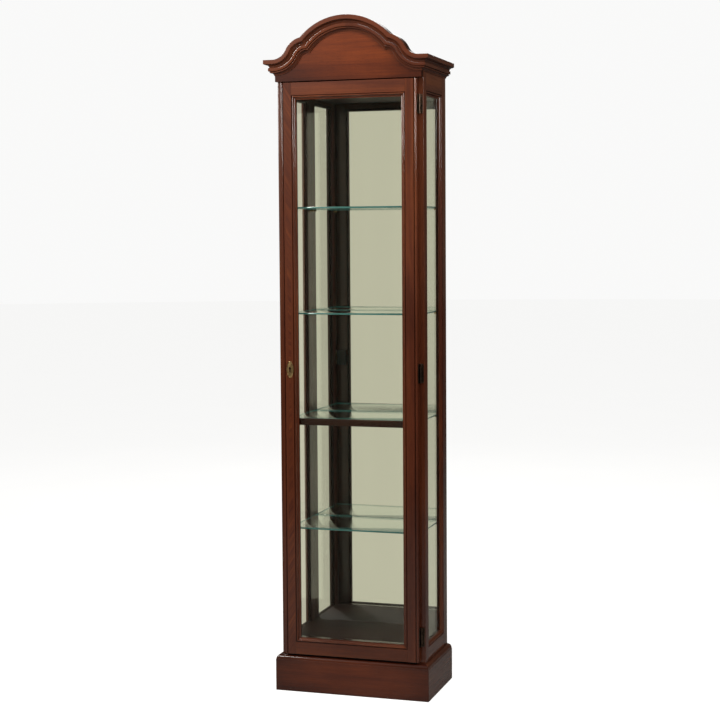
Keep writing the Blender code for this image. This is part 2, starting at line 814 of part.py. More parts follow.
def lock(door, pivot, stile, post):
    """Escutcheon, lock case behind the stile, sliding bolt, and the strike let into the case's post."""

    def oval(shape):
        angles = [2 * math.pi * k / PLATE_SIDES for k in range(PLATE_SIDES)]
        ring = [
            (LOCK_X + PLATE_HALF_WIDE * math.cos(a), LOCK_Z + PLATE_HALF_TALL * math.sin(a))
            for a in angles
        ]
        back = FACE_Y - GAP
        add_prism(
            shape,
            [(x, back - PLATE_THICK, z) for x, z in ring],
            [(x, back, z) for x, z in ring],
        )

    def keyhole(shape):
        eye = arc(LOCK_X, LOCK_Z + KEYHOLE_EYE_UP, KEYHOLE_EYE, -52, 232, 12)
        slot = [
            (LOCK_X - KEYHOLE_HALF_WIDE, LOCK_Z - KEYHOLE_DROP),
            (LOCK_X + KEYHOLE_HALF_WIDE, LOCK_Z - KEYHOLE_DROP),
        ]
        outline = eye + slot
        add_prism(
            shape,
            [(x, FACE_Y - 3 * PLATE_THICK, z) for x, z in outline],
            [(x, FRONT_Y + 2 * PLATE_THICK, z) for x, z in outline],
        )

    plate = place("lock_escutcheon", oval, BRASS, door, pivot)
    bevel = plate.modifiers.new("rim", "BEVEL")
    bevel.width = PLATE_RIM
    bevel.segments = 1
    key_cutter = place("cutter_keyhole", keyhole, STEEL, door, pivot)
    boolean(plate, key_cutter, "DIFFERENCE")
    boolean(stile, key_cutter, "DIFFERENCE")

    lock_case = block(
        "lock_case",
        (LOCK_CASE_START, FRONT_Y, LOCK_Z - LOCK_CASE_HALF_TALL),
        (LOCK_CASE_END, FRONT_Y + LOCK_CASE_DEPTH, LOCK_Z + LOCK_CASE_HALF_TALL),
        STEEL,
        door,
        pivot,
    )
    bolt_half = Vector((BOLT_LONG, BOLT_THICK, BOLT_TALL)) / 2
    bolt_middle = Vector((LOCK_CASE_START + BOLT_INSET + bolt_half.x, FRONT_Y + BOLT_DEPTH, LOCK_Z))
    bolt_low, bolt_high = bolt_middle - bolt_half, bolt_middle + bolt_half
    slack = Vector((BOLT_CLEAR,) * 3)
    mouth = Vector((DRILL_PAST, 0, 0))
    channel = block(
        "cutter_bolt_channel", bolt_low - slack - mouth, bolt_high + slack, STEEL, door, pivot
    )
    boolean(lock_case, channel, "DIFFERENCE")
    block("lock_bolt", bolt_low, bolt_high, STEEL, door, pivot)
    mortise_half = bolt_half + Vector((0, MORTISE_CLEAR, MORTISE_CLEAR))
    mortise = block(
        "cutter_mortise",
        (-CASE_INNER - MORTISE_DEEP, bolt_middle.y - mortise_half.y, LOCK_Z - mortise_half.z),
        (-CASE_INNER + 2 * STRIKE_THICK, bolt_middle.y + mortise_half.y, LOCK_Z + mortise_half.z),
        STEEL,
    )
    boolean(post, mortise, "DIFFERENCE")
    strike = block(
        "lock_strike",
        (-CASE_INNER + GAP, FRONT_Y + MORTISE_CLEAR, LOCK_Z - STRIKE_HALF_TALL),
        (-CASE_INNER + STRIKE_THICK, FRONT_Y + LOCK_CASE_DEPTH, LOCK_Z + STRIKE_HALF_TALL),
        BRASS,
    )
    boolean(strike, mortise, "DIFFERENCE")


def main():
    stiles = {}
    for side, name in ((-1, "left"), (1, "right")):
        stiles[name, side] = side_frame(side, name)
    plinth()
    bonnet()
    inside()
    shelves()
    pegs(stiles)
    pivot = (HINGE_X, HINGE_Y, (DOOR_LOW + DOOR_HIGH) / 2)
    door = empty("door_axis", pivot)
    lock_stile = door_frame(door, pivot)
    lock(door, pivot, lock_stile, stiles["left", -1][0])
    for name, level in zip(("bottom", "middle", "top"), HINGE_LEVELS):
        hinge(name, level, door)


main()
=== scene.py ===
"""Looks of the curio cabinet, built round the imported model.

Metres, +Z up, the cabinet's front faces -Y. Panes, mirror, boards, inner rails and lock parts are
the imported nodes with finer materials. Frames, mouldings, plinth, shelves, pegs, hinges and the
escutcheon are rebuilt here. Glazing stops, screws and the mirror's front glass are added.
"""

import json
import math

import bmesh
import bpy
from mathutils import Matrix, Vector


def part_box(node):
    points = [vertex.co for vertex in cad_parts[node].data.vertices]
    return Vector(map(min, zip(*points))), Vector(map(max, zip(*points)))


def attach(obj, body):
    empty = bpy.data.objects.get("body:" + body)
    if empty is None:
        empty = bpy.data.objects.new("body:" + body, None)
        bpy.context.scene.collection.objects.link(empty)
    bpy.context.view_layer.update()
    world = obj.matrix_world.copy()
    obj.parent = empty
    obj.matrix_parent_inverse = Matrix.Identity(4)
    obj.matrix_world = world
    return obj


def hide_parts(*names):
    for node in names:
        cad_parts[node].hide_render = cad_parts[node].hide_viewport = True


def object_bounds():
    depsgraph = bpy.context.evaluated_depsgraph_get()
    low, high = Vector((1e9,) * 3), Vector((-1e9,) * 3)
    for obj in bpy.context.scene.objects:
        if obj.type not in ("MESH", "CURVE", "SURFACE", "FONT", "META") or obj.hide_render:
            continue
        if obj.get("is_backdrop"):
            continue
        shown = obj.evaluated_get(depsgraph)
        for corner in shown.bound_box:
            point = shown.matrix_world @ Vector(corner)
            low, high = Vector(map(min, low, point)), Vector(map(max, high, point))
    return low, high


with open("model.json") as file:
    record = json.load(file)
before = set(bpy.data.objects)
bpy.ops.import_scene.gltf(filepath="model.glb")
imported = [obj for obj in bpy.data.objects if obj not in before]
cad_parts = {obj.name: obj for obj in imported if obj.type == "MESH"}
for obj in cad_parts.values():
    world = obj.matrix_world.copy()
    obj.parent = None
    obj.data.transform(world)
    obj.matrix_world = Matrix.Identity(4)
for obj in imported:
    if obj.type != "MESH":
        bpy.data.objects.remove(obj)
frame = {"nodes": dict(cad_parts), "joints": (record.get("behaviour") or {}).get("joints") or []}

CAD_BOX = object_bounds()

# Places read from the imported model
POST_LOW, POST_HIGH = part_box("right_front_stile")
CASE_HALF, CASE_INNER = POST_HIGH.x, POST_LOW.x
FRONT_Y = POST_LOW.y
BACK_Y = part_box("right_rear_stile")[1].y
FACE_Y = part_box("frieze_board")[0].y
FRIEZE_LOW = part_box("frieze_board")[0].z
CORNICE_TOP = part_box("cornice_left")[1].z
HEIGHT = CAD_BOX[1].z
DOOR_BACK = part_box("door_right_stile")[1].y

# The joints between fixed parts, and edges: eased radius, and the turn from which an edge is sharp
GAP = 0.0003
EASE = 0.0009
SHARP = 32

# Sticking: the moulded inner edge of every glazed frame. Bead and quirk: on the door's outer edges
STICK = 0.0135
REBATE = 0.0055
REBATE_DEPTH = 0.0098
BEAD = 0.0035
QUIRK = 0.0025

# Bonnet
ARCH_RADIUS = 0.187
ARCH_HALF = 0.138
SHOULDER_RADIUS = 0.066
SHOULDER_START = math.radians(78)
SHOULDER_END = math.radians(26)
ARC_STEP = math.radians(1.6)
CORNICE_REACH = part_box("cornice_right")[1].x - CASE_HALF
FASCIA = 0.0125
CORNICE_TALL = 0.045

# Plinth
BASE_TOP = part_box("base_front")[1].z
BASE_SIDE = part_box("base_right")[1].x - CASE_HALF
BASE_FRONT = FRONT_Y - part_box("base_front")[0].y
OVOLO = 0.0125
FILLET = 0.0012

# Hinges: knuckles, barrel radius, leaf thickness, case leaf beyond the barrel, screw head radius
KNUCKLES = 5
BARREL = 0.0036
LEAF = 0.0015
LEAF_REACH = 0.0052
SCREW = 0.0017

# What the panes and the mirror show of the room round the cabinet, and the light a pane lets in
ROOM = (1.0, 0.942, 0.740)
ROOM_LIGHT = 0.60
SHADE = 0.62

# The dimmer room that gloss mirrors, in front of the cabinet and behind it
ROOM_IN_FRONT = 0.13
ROOM_BEHIND = 0.06

# Lamps: place, target, size, watts, colour
LAMPS = {
    "key_left": ((-1.95, -2.45, 2.75), (0, 0, 2.1), (0.45, 1.9), 190, (1.0, 0.97, 0.93)),
    "fill_right": ((2.4, -1.6, 2.7), (0, 0, 2.1), (0.35, 2.0), 125, (1.0, 0.98, 0.96)),
    "overhead": ((0.3, -1.5, 3.4), (0, 0, 1.6), (1.2, 0.6), 45, (1.0, 1.0, 1.0)),
    "back": ((-1.2, 4.5, 3.2), (0, 0, 1.2), (1.5, 1.5), 45, (1.0, 1.0, 1.0)),
}

# Camera, fitted to the cabinet's corners
LENS = 81.47
LENS_SHIFT = -0.025
CAMERA_PLACE = (1.4991, -4.7259, 1.3873)
YAW, TILT, ROLL = (math.radians(angle) for angle in (17.6577, 3.7472, -0.3898))

# How far each board is moved through the grain pattern, so that no two look the same, and the width
# of the painted shade that darkens each crevice
BOARD_STEP = Vector((1.37, 0.31, 0.23))
CREVICE = 0.0007


# ---------------------------------------------------------------- materials


def new_material(name):
    made = bpy.data.materials.new(name)
    made.use_nodes = True
    shader = made.node_tree.nodes["Principled BSDF"]
    return made, made.node_tree, shader


def new_node(tree, kind, **values):
    """A node with some inputs set. A name's underscores stand for spaces."""
    made = tree.nodes.new(kind)
    set_inputs(made, **values)
    return made


def set_inputs(node, **values):
    for name, value in values.items():
        node.inputs[name.replace("_", " ")].default_value = value


def join(tree, source, target):
    tree.links.new(source, target)


def math_node(tree, operation, first, second=None, clamp=False):
    made = tree.nodes.new("ShaderNodeMath")
    made.operation = operation
    made.use_clamp = clamp
    for socket, value in zip(made.inputs, (first, second)):
        if value is None:
            continue
        if isinstance(value, (int, float)):
            socket.default_value = value
        else:
            join(tree, value, socket)
    return made.outputs[0]


def noise(tree, vector, scale, detail=3.0, roughness=0.55, distortion=0.0):
    """A noise stretched by scale, which has one value for each axis."""
    mapping = new_node(tree, "ShaderNodeMapping", Scale=scale)
    join(tree, vector, mapping.inputs["Vector"])
    made = new_node(
        tree, "ShaderNodeTexNoise",
        Scale=1.0, Detail=detail, Roughness=roughness, Distortion=distortion)
    join(tree, mapping.outputs[0], made.inputs["Vector"])
    return made.outputs[0]


def spread(tree, value, low, high, to_low, to_high):
    made = new_node(
        tree, "ShaderNodeMapRange", From_Min=low, From_Max=high, To_Min=to_low, To_Max=to_high)
    join(tree, value, made.inputs["Value"])
    return made.outputs[0]


def ramp(tree, value, stops):
    made = tree.nodes.new("ShaderNodeValToRGB")
    while len(made.color_ramp.elements) < len(stops):
        made.color_ramp.elements.new(0.5)
    for element, (place, colour) in zip(made.color_ramp.elements, stops):
        element.position = place
        element.color = (*colour, 1.0)
    join(tree, value, made.inputs["Fac"])
    return made.outputs[0]


def mix_colour(tree, blend, share, first, second):
    made = tree.nodes.new("ShaderNodeMix")
    made.data_type = "RGBA"
    made.blend_type = blend
    sockets = (made.inputs[0], made.inputs[6], made.inputs[7])
    for socket, value in zip(sockets, (share, first, second)):
        if isinstance(value, tuple):
            socket.default_value = (*value, 1.0)
        elif isinstance(value, (int, float)):
            socket.default_value = value
        else:
            join(tree, value, socket)
    return made.outputs[2]


def bump(tree, shader, height, distance):
    made = new_node(tree, "ShaderNodeBump", Distance=distance, Strength=1.0)
    join(tree, height, made.inputs["Height"])
    join(tree, made.outputs[0], shader.inputs["Normal"])


def mix_shader(tree, share, first, second):
    made = tree.nodes.new("ShaderNodeMixShader")
    for socket, source in zip(made.inputs, (share, first, second)):
        join(tree, source, socket)
    return made.outputs[0]


def shining(tree, kind, colour, strength):
    """A node of a kind with a colour and a strength: an emission or a background."""
    return new_node(tree, kind, Color=(*colour, 1.0), Strength=strength).outputs[0]


def behind_glass(tree, ray):
    """1 for a ray that has passed through a pane."""
    return math_node(tree, "GREATER_THAN", ray.outputs["Transparent Depth"], 0.5)


def object_place(tree):
    return tree.nodes.new("ShaderNodeTexCoord").outputs["Object"]


def grain_source(tree, axis):
    """Where a point is in the wood, along the grain first. Without an axis, the mesh stores it."""
    if axis is None:
        stored = tree.nodes.new("ShaderNodeAttribute")
        stored.attribute_name = "grain"
        return stored.outputs["Vector"]
    parts = tree.nodes.new("ShaderNodeSeparateXYZ")
    join(tree, object_place(tree), parts.inputs[0])
    turned = tree.nodes.new("ShaderNodeCombineXYZ")
    for slot, source in enumerate({"X": "XYZ", "Y": "YXZ", "Z": "ZXY"}[axis]):
        join(tree, parts.outputs[source], turned.inputs[slot])
    return turned.outputs[0]


def wood(
    name, axis=None, shade=1.0, edge_shade=0.0, lacquer=0.75, roughness=0.40, shine=0.05, tint=(1, 1, 1)
):
    """Lacquered cherry, with painted shade, as strong as the given share, that darkens the board
    towards its ends and edges round a lit middle.
    """
    made, tree, shader = new_material(name)
    place = grain_source(tree, axis)
    rings = noise(tree, place, (1.1, 22.0, 22.0), 5.0, 0.58, 0.45)
    streaks = noise(tree, place, (7.0, 210.0, 210.0), 4.0, 0.65)
    pores = noise(tree, place, (55.0, 1500.0, 1500.0), 2.0, 0.5)
    blotches = noise(tree, place, (3.2, 8.0, 8.0), 3.0, 0.6, 0.5)
    stops = (
        (0.28, (0.034, 0.0078, 0.0034)),
        (0.46, (0.050, 0.0118, 0.0046)),
        (0.60, (0.067, 0.0165, 0.0056)),
        (0.80, (0.092, 0.0240, 0.0072)),
    )
    tinted = [(at, tuple(shade * c * t for c, t in zip(tone, tint))) for at, tone in stops]
    colour = ramp(tree, rings, tinted)
    colour = mix_colour(tree, "MULTIPLY", 1.0, colour, ramp(
        tree, blotches, [(0.3, (0.72, 0.70, 0.72)), (0.7, (1.16, 1.18, 1.14))]))
    colour = mix_colour(tree, "MULTIPLY", 1.0, colour, ramp(
        tree, streaks, [(0.25, (0.74, 0.70, 0.70)), (0.65, (1.10, 1.10, 1.08))]))
    colour = mix_colour(tree, "MULTIPLY", 0.55, colour, ramp(
        tree, pores, [(0.30, (0.45, 0.40, 0.40)), (0.48, (1.0, 1.0, 1.0))]))
    # Painted shade: the board grows darker towards its ends and edges, round a lit middle
    if edge_shade:
        box = tree.nodes.new("ShaderNodeSeparateXYZ")
        join(tree, tree.nodes.new("ShaderNodeTexCoord").outputs["Generated"], box.inputs[0])
        reach = None
        for socket in (box.outputs["X"], box.outputs["Z"]):
            away = math_node(tree, "ABSOLUTE", math_node(tree, "SUBTRACT", socket, 0.5))
            away = math_node(tree, "POWER", math_node(tree, "MULTIPLY", away, 2.0), 2.2)
            reach = away if reach is None else math_node(tree, "ADD", reach, away)
        edge = math_node(tree, "MULTIPLY", spread(tree, reach, 0.15, 1.35, 0.0, 1.0), edge_shade)
        colour = mix_colour(tree, "MULTIPLY", edge, colour, (0.30, 0.24, 0.25))
    # Painted shade: the stored attribute darkens the colour in the inner corners of mouldings,
    # where shade falls
    if axis is None:
        crevice_shade = tree.nodes.new("ShaderNodeAttribute")
        crevice_shade.attribute_name = "crevice_shade"
        shade_share = math_node(tree, "MULTIPLY", crevice_shade.outputs["Fac"], 0.95)
        colour = mix_colour(tree, "MIX", shade_share, colour, (0.0045, 0.0020, 0.0016))
    join(tree, colour, shader.inputs["Base Color"])
    rough = spread(tree, streaks, 0.2, 0.8, roughness + 0.07, roughness - 0.05)
    join(tree, rough, shader.inputs["Roughness"])
    set_inputs(
        shader, Specular_IOR_Level=shine, Coat_Weight=lacquer, Coat_Roughness=0.10, Coat_IOR=1.50)
    relief = math_node(tree, "ADD", math_node(tree, "MULTIPLY", pores, 0.35), streaks)
    bump(tree, shader, relief, 0.00004)
    return made


def plywood(name):
    """Unlacquered birch-faced board."""
    made, tree, shader = new_material(name)
    place = grain_source(tree, "Z")
    rings = noise(tree, place, (1.2, 16.0, 16.0), 4.0, 0.5, 1.2)
    fibres = noise(tree, place, (12.0, 500.0, 500.0), 3.0, 0.6)
    colour = ramp(tree, rings, [(0.3, (0.145, 0.080, 0.038)), (0.7, (0.245, 0.148, 0.078))])
    colour = mix_colour(tree, "MULTIPLY", 0.7, colour, ramp(
        tree, fibres, [(0.3, (0.70, 0.66, 0.62)), (0.6, (1.05, 1.05, 1.05))]))
    join(tree, colour, shader.inputs["Base Color"])
    join(tree, spread(tree, fibres, 0.2, 0.8, 0.80, 0.62), shader.inputs["Roughness"])
    bump(tree, shader, fibres, 0.00015)
    return made


def clear_glass(name, tint, reflect=0.008):
    """Thin glass: what is behind shows unbent, the surface mirrors more at a slant, and less light
    than it shows gets through to dull surfaces."""
    made, tree, shader = new_material(name)
    tree.nodes.remove(shader)
    through = new_node(tree, "ShaderNodeBsdfTransparent", Color=(*tint, 1.0))
    gloss = new_node(
        tree, "ShaderNodeBsdfGlossy", Color=(0.95, 1.0, 0.98, 1.0), Roughness=0.015)
    slant = new_node(tree, "ShaderNodeLayerWeight", Blend=0.5)
    rise = math_node(tree, "POWER", slant.outputs["Facing"], 5.0)
    film = spread(tree, noise(tree, object_place(tree), (3.0, 3.0, 3.0), 2.0), 0.3, 0.7, 0.85, 1.15)
    share = math_node(tree, "ADD", math_node(tree, "MULTIPLY", rise, 0.80), reflect)
    share = math_node(tree, "MULTIPLY", share, film, clamp=True)
    shade = new_node(tree, "ShaderNodeBsdfTransparent", Color=(SHADE, SHADE, SHADE, 1.0))
    ray = tree.nodes.new("ShaderNodeLightPath").outputs
    lighting = math_node(tree, "MAXIMUM", ray["Is Shadow Ray"], ray["Is Diffuse Ray"])
    passing = mix_shader(tree, lighting, through.outputs[0], shade.outputs[0])
    both = mix_shader(tree, share, passing, gloss.outputs[0])
    join(tree, both, tree.nodes["Material Output"].inputs["Surface"])
    return made


def glass_edge(name):
    """The polished edge of a glass shelf, where the glass looks sea green, with a painted glow for
    the light that the glass carries to its edge.
    """
    made, tree, shader = new_material(name)
    depth = noise(tree, object_place(tree), (9.0, 60.0, 260.0), 3.0)
    join(tree, ramp(tree, depth, [(0.3, (0.014, 0.070, 0.060)), (0.7, (0.06, 0.20, 0.175))]),
         shader.inputs["Base Color"])
    join(tree, spread(tree, depth, 0.3, 0.7, 0.10, 0.18), shader.inputs["Roughness"])
    # Painted glow: the edge gives off a little sea-green light, though no lamp is there
    set_inputs(shader, Emission_Color=(0.10, 0.42, 0.36, 1.0), Emission_Strength=0.09)
    return made


def mirror_glass(name):
    made, tree, shader = new_material(name)
    haze = noise(tree, object_place(tree), (1.5, 1.5, 1.5), 2.0)
    join(tree, ramp(tree, haze, [(0.3, (0.90, 0.91, 0.89)), (0.7, (0.93, 0.94, 0.92))]),
         shader.inputs["Base Color"])
    set_inputs(shader, Metallic=1.0, Roughness=0.02)
    return made


def metal(name, low, high, roughness):
    """Cast or brushed metal whose tone and gloss vary a little, darker where it has tarnished."""
    made, tree, shader = new_material(name)
    place = object_place(tree)
    patina = noise(tree, place, (180.0, 180.0, 180.0), 4.0, 0.6)
    fine = noise(tree, place, (1620.0, 1620.0, 1620.0), 2.0)
    join(tree, ramp(tree, patina, [(0.32, low), (0.66, high)]), shader.inputs["Base Color"])
    rough = spread(tree, patina, 0.3, 0.7, roughness + 0.10, roughness - 0.06)
    join(tree, rough, shader.inputs["Roughness"])
    set_inputs(shader, Metallic=1.0)
    bump(tree, shader, fine, 0.00006)
    return made


CHERRY = wood("lacquered_cherry")
# The panel's colour carries painted shade towards the ends and edges of each board
CHERRY_PANEL = wood("lacquered_cherry_panel", shade=1.18, edge_shade=0.85, tint=(1.0, 0.80, 0.52))
CHERRY_X = wood("lacquered_cherry_across", "X", shade=0.55)
# Dark stain inside the case; the frieze board's edges use it as painted shade
DARK_WOOD = wood("stained_inside_and_painted_shade", "X", shade=0.30, lacquer=0.0, roughness=0.55, shine=0.10)
# Stained trim; the arch moulding's top face uses it as painted shade
DARK_TRIM = wood("stained_trim_and_painted_shade", shade=0.35, lacquer=0.25, roughness=0.42)
PLYWOOD = plywood("back_plywood")
GLASS = clear_glass("window_glass", (0.98, 0.985, 0.975))
SHELF_TOP = clear_glass("shelf_glass_face", (0.97, 0.985, 0.978), 0.012)
MIRROR_FACE = clear_glass("mirror_glass_face", (0.995, 1.0, 0.995), 0.0)
SHELF_EDGE = glass_edge("shelf_glass_edge")
MIRROR = mirror_glass("silvered_mirror")
BRASS = metal("antique_brass", (0.11, 0.068, 0.028), (0.36, 0.25, 0.115), 0.32)
BRONZE = metal("dark_bronze", (0.022, 0.014, 0.010), (0.105, 0.072, 0.050), 0.30)
LOCK_STEEL = metal("blackened_steel", (0.020, 0.019, 0.018), (0.050, 0.048, 0.045), 0.45)
STEEL = metal("bright_steel", (0.42, 0.42, 0.41), (0.62, 0.62, 0.60), 0.30)


# ------------------------------------------------------------- mesh helpers


def arc(centre_u, centre_v, radius, start, end, steps):
    """Points on an arc, angles in degrees, both ends included."""
    angles = [math.radians(start + (end - start) * k / steps) for k in range(steps + 1)]
    return [(centre_u + radius * math.cos(a), centre_v + radius * math.sin(a)) for a in angles]


def turn_at(before, here, after):
    """How far a closed outline turns at a point, in radians, left positive."""
    first = Vector((here[0] - before[0], here[1] - before[1]))
    second = Vector((after[0] - here[0], after[1] - here[1]))
    return math.atan2(first.x * second.y - first.y * second.x, first.dot(second))


def with_crevice_shade(section):
    """The closed section with a point close on each side of every inner corner, where painted shade
    darkens the crevice, and how much of it each point has, from 0 to 1."""
    count = len(section)
    turns = [turn_at(section[i - 1], section[i], section[(i + 1) % count]) for i in range(count)]
    sign = 1 if sum(turns) > 0 else -1
    points, crevice_shades = [], []

    def near(i, j):
        """Adds a point without painted shade close to point i on the way to point j."""
        a, b = Vector(section[i]), Vector(section[j])
        if (b - a).length > 2.2 * CREVICE:
            beside = a + (b - a).normalized() * CREVICE
            points.append((beside.x, beside.y))
            crevice_shades.append(0.0)

    for i in range(count):
        inner = -sign * turns[i] > math.radians(24)
        if inner:
            near(i, i - 1)
        points.append(section[i])
        crevice_shades.append(min(1.0, -sign * turns[i] / math.radians(70)) if inner else 0.0)
        if inner:
            near(i, (i + 1) % count)
    return points, crevice_shades


class Mould:
    """A mesh in the making, whose points store where they are in the wood."""

    def __init__(self, board=0):
        self.shape = bmesh.new()
        self.grain = self.shape.verts.layers.float_vector.new("grain")
        # The second layer holds how much painted shade each point gets in a crevice
        self.crevice_shade = self.shape.verts.layers.float.new("crevice_shade")
        self.shift = BOARD_STEP * board

    def vertex(self, point, grain=(0, 0, 0), crevice_shade=0.0):
        made = self.shape.verts.new(point)
        made[self.grain] = Vector(grain) + self.shift
        made[self.crevice_shade] = crevice_shade
        return made

    def loft(self, rings, closed=False, dark_sides=()):
        """Sides between rings with the same number of points, and end faces unless it is closed.
        The dark_sides of each ring take the piece's second material."""
        pairs = list(zip(rings, rings[1:])) + ([(rings[-1], rings[0])] if closed else [])
        for first, second in pairs:
            for i in range(len(first)):
                j = (i + 1) % len(first)
                made = self.shape.faces.new((first[i], second[i], second[j], first[j]))
                made.material_index = 1 if i in dark_sides else 0
        if not closed:
            self.shape.faces.new(rings[0])
            self.shape.faces.new(list(reversed(rings[-1])))

    def sweep(self, section, stations, closed=False, dark_sides=()):
        """A bar with one closed section. A station is (distance along, function from section to
        world)."""
        points, crevice_shades = with_crevice_shade(section)
        rings = [
            [self.vertex(put(a, b), (along, a, b), g) for (a, b), g in zip(points, crevice_shades)]
            for along, put in stations
        ]
        self.loft(rings, closed, dark_sides)

    def turned(self, profile, base, axis, sides=28):
        """A turned solid. profile is (radius, height) from its base to its tip along axis."""
        turn = Vector(axis).to_track_quat("Z", "Y").to_matrix()
        angles = [2 * math.pi * k / sides for k in range(sides)]
        rings = []
        for radius, height in profile:
            if radius < 1e-6:
                ring = [(0.0, 0.0, height)]
            else:
                ring = [(radius * math.cos(a), radius * math.sin(a), height) for a in angles]
            rings.append([self.vertex(Vector(base) + turn @ Vector(point)) for point in ring])
        for first, second in zip(rings, rings[1:]):
            for i in range(sides):
                j = (i + 1) % sides
                corners = [first[i % len(first)], first[j % len(first)]]
                corners += [second[j % len(second)], second[i % len(second)]]
                self.shape.faces.new(list(dict.fromkeys(corners)))
        for ring in (rings[0], rings[-1]):
            if len(ring) > 1:
                self.shape.faces.new(ring)

    def slab(self, low, high, round_edge=0.0):
        """A box with eased edges, merged into this mesh."""
        low, high = Vector(low), Vector(high)
        before = set(self.shape.verts)
        bmesh.ops.create_cube(self.shape, size=1.0)
        fresh = [v for v in self.shape.verts if v not in before]
        for v in fresh:
            v.co = low + Vector((
                (v.co.x + 0.5) * (high.x - low.x),
                (v.co.y + 0.5) * (high.y - low.y),
                (v.co.z + 0.5) * (high.z - low.z),
            ))
        if round_edge:
            edges = {e for v in fresh for e in v.link_edges}
            bmesh.ops.bevel(
                self.shape, geom=list(edges), offset=round_edge, segments=2,
                profile=0.5, affect="EDGES", clamp_overlap=True)
        for v in self.shape.verts:
            if v not in before:
                v[self.grain] = v.co + self.shift

    def object(self, name, finish, degrees=SHARP):
        bmesh.ops.recalc_face_normals(self.shape, faces=self.shape.faces)
        mesh = bpy.data.meshes.new(name)
        self.shape.to_mesh(mesh)
        self.shape.free()
        for one in finish if isinstance(finish, tuple) else (finish,):
            mesh.materials.append(one)
        mesh.shade_smooth()
        mesh.set_sharp_from_angle(angle=math.radians(degrees))
        made = bpy.data.objects.new(name, mesh)
        bpy.context.scene.collection.objects.link(made)
        return made


def piece(mould, name, finish, body, nodes=(), degrees=SHARP):
    """The finished mesh as a piece on its body, standing for the nodes it replaces."""
    made = mould.object(name, finish, degrees)
    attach(made, body)
    if nodes:
        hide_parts(*nodes)
    return made


def cut(target, mould):
    """Cuts the mould's shape out of a piece for good, and marks its sharp edges again."""
    tool = mould.object("cutting_tool", STEEL)
    step = target.modifiers.new("cut", "BOOLEAN")
    step.operation = "DIFFERENCE"
    step.solver = "EXACT"
    step.object = tool
    bpy.context.view_layer.update()
    graph = bpy.context.evaluated_depsgraph_get()
    made = bpy.data.meshes.new_from_object(target.evaluated_get(graph))
    made.name = target.name
    made.set_sharp_from_angle(angle=math.radians(SHARP))
    target.modifiers.remove(step)
    target.data = made
    bpy.data.objects.remove(tool, do_unlink=True)


# ------------------------------------------------------------ glazed frames


def sticking(width, thick):
    """Section of the moulded edge, from the back of the member round to its show face: rebate, lip,
    cove, bead and quirk."""
    cove = [
        (width + 0.0072 + 0.0046 * (1 - math.cos(a)), 0.0033 + 0.0043 * math.sin(a))
        for a in (math.radians(90 - 15 * k) for k in range(7))
    ]
    bead = [(u, 0.0052 - d) for u, d in arc(width + 0.0042, 0.0026, 0.0021, 12, 168, 12)]
    return [
        (width, thick),
        (width + REBATE, thick),
        (width + REBATE, REBATE_DEPTH),
        (width + STICK, REBATE_DEPTH),
        (width + STICK, 0.0083),
        (width + STICK - 0.0004, 0.0078),
        *cove,
        *bead,
        (width + 0.0016, 0.0031),
        (width + 0.0004, 0.0026),
        (width, 0.0),
    ]


def plain_edge(width, thick):
    """A member's square outer edge, eased."""
    front = arc(EASE, EASE, EASE, 270, 180, 4)
    back = arc(EASE, thick - EASE, EASE, 180, 90, 4)
    return [(width, 0.0), *front, *back, (width, thick)]


def rebated_edge(width, thick):
    """The rear stile's outer edge, cut back inside for the mirror and the back board."""
    seat = BACK_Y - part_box("back_mirror")[0].y + GAP
    cut_back = thick - 0.008
    return [
        (width, 0.0),
        *arc(EASE, EASE, EASE, 270, 180, 4),
        (0.0, cut_back),
        (seat, cut_back),
        (seat, thick),
        (width, thick),
    ]


def beaded_edge(width, thick):
    """The door stile's outer edge: a bead flush with the face, and the quirk beside it."""
    round_over = [(u, BEAD - d) for u, d in arc(BEAD, 0.0, BEAD, 0, 180, 16)]
    quirk_end = 2 * BEAD + QUIRK
    return [
        (width, 0.0),
        (quirk_end + 0.0004, 0.0),
        (quirk_end, 0.0004),
        (quirk_end - 0.0006, BEAD),
        *round_over,
        (0.0, thick),
        (width, thick),
    ]


def add_member(mould, outer, width, thick, length, corners, put):
    """A frame member. Its body runs the whole length. Its sticking is mitred, and starts past the
    rails' bodies, which take up corners at each end. put turns (u, d, along) into the world."""
    loop = outer + sticking(width, thick)[1:-1]
    points, crevice_shades = with_crevice_shade(loop)
    body = [i for i, p in enumerate(points) if p[0] <= width + 1e-7]
    rim = [i for i, p in enumerate(points) if p[0] > width + 1e-7]
    low, high = corners

    def vertex(i, along):
        u, d = points[i]
        return mould.vertex(put(u, d, along), (along, u, d), crevice_shades[i])

    def past(i):
        return points[i][0] - width

    body_low = [vertex(i, 0.0) for i in body]
    body_high = [vertex(i, length) for i in body]
    rim_low = [vertex(i, low + past(i)) for i in rim]
    rim_high = [vertex(i, length - high - past(i)) for i in rim]
    face = mould.shape.faces.new
    front, back = body[0], body[-1]
    front_low, back_low = body_low[0], body_low[-1]
    front_high, back_high = body_high[0], body_high[-1]
    if low:
        front_low, back_low = vertex(front, low), vertex(back, low)
        face((body_low[0], front_low, back_low, body_low[-1]))
    if high:
        front_high, back_high = vertex(front, length - high), vertex(back, length - high)
        face((body_high[-1], back_high, front_high, body_high[0]))
    face(body_low)
    face(list(reversed(body_high)))
    last = len(body) - 2
    for i in range(len(body) - 1):
        loop_low, loop_high = [body_low[i + 1], body_low[i]], [body_high[i], body_high[i + 1]]
        between_first = ([front_low] if low else []) + ([front_high] if high else [])
        between_last = ([back_high] if high else []) + ([back_low] if low else [])
        corners_of_face = loop_low + (between_first if i == 0 else []) + loop_high
        face(corners_of_face + (between_last if i == last else []))
    ring_low = [back_low, *rim_low, front_low]
    ring_high = [back_high, *rim_high, front_high]
    face(ring_low)
    face(list(reversed(ring_high)))
    for i in range(len(ring_low) - 1):
        face((ring_low[i], ring_high[i], ring_high[i + 1], ring_low[i + 1]))


AXES = {"X": Vector((1, 0, 0)), "Y": Vector((0, 1, 0)), "Z": Vector((0, 0, 1))}


